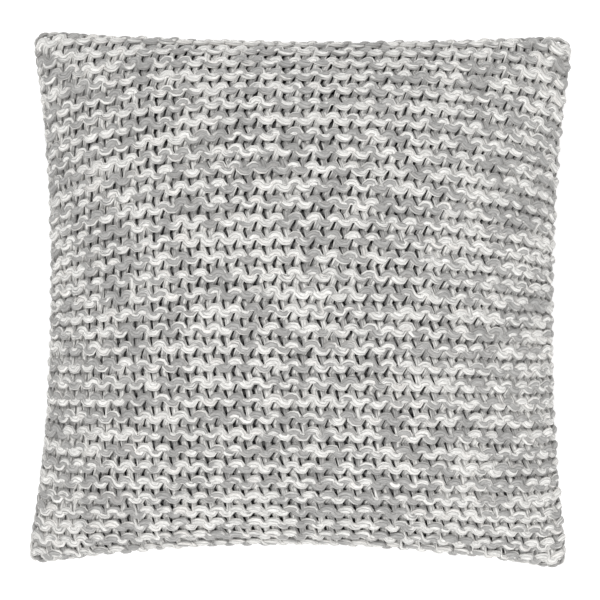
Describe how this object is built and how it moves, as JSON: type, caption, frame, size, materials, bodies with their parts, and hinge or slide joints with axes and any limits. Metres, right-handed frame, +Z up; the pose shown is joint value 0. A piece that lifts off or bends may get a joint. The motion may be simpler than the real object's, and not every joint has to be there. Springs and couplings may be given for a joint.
{
  "type": "throw pillow",
  "caption": "Square knitted throw pillow with a garter-stitch cover, concave edges, a stuffed insert and a zip in the lower seam.",
  "frame": {"origin": "on the surface the pillow lies on, below the middle of its outline", "axes": "+Z up through the front of the pillow, +Y towards the top edge, +X to the right seen from the front; the zip is in the seam at -Y"},
  "size_m": [0.446, 0.4416, 0.135],
  "materials": {
    "marled_yarn": "chunky soft yarn of off-white and light grey plies, knitted in garter stitch",
    "seam_yarn": "the same soft yarn, sewn round the rim",
    "lining": "dark grey plain-weave cotton",
    "insert_cotton": "unbleached plain-weave cotton",
    "filling": "loose white polyester fibre",
    "label_ribbon": "blank white satin ribbon",
    "zip_tape": "light grey woven tape",
    "zip_coil": "light grey nylon",
    "zip_metal": "satin nickel"
  },
  "bodies": {
    "cushion": {"front_knit_panel": "marled_yarn", "back_knit_panel": "marled_yarn", "knit_seam": "seam_yarn", "front_lining": "lining", "back_lining": "lining", "insert_front_casing": "insert_cotton", "insert_back_casing": "insert_cotton", "insert_filling": "filling", "care_label": "label_ribbon", "front_zip_tape": "zip_tape", "back_zip_tape": "zip_tape", "front_zip_coil": "zip_coil", "back_zip_coil": "zip_coil", "zip_bottom_stop": "zip_metal", "zip_front_top_stop": "zip_metal", "zip_back_top_stop": "zip_metal"},
    "slider": {"zip_slider": "zip_metal"},
    "pull": {"zip_pull": "zip_metal"}
  },
  "joints": [
    {"name": "zip_run", "type": "hinge", "parent": "cushion", "child": "slider", "pos_m": [-0.00023, -1.35301, 0.055], "axis": [0, 0, 1], "range_deg": [0, 14.45]},
    {"name": "pull_flip", "type": "hinge", "parent": "slider", "child": "pull", "pos_m": [0.151, -0.20674, 0.055], "axis": [0, 0, 1], "range_deg": [0, 160]}
  ]
}
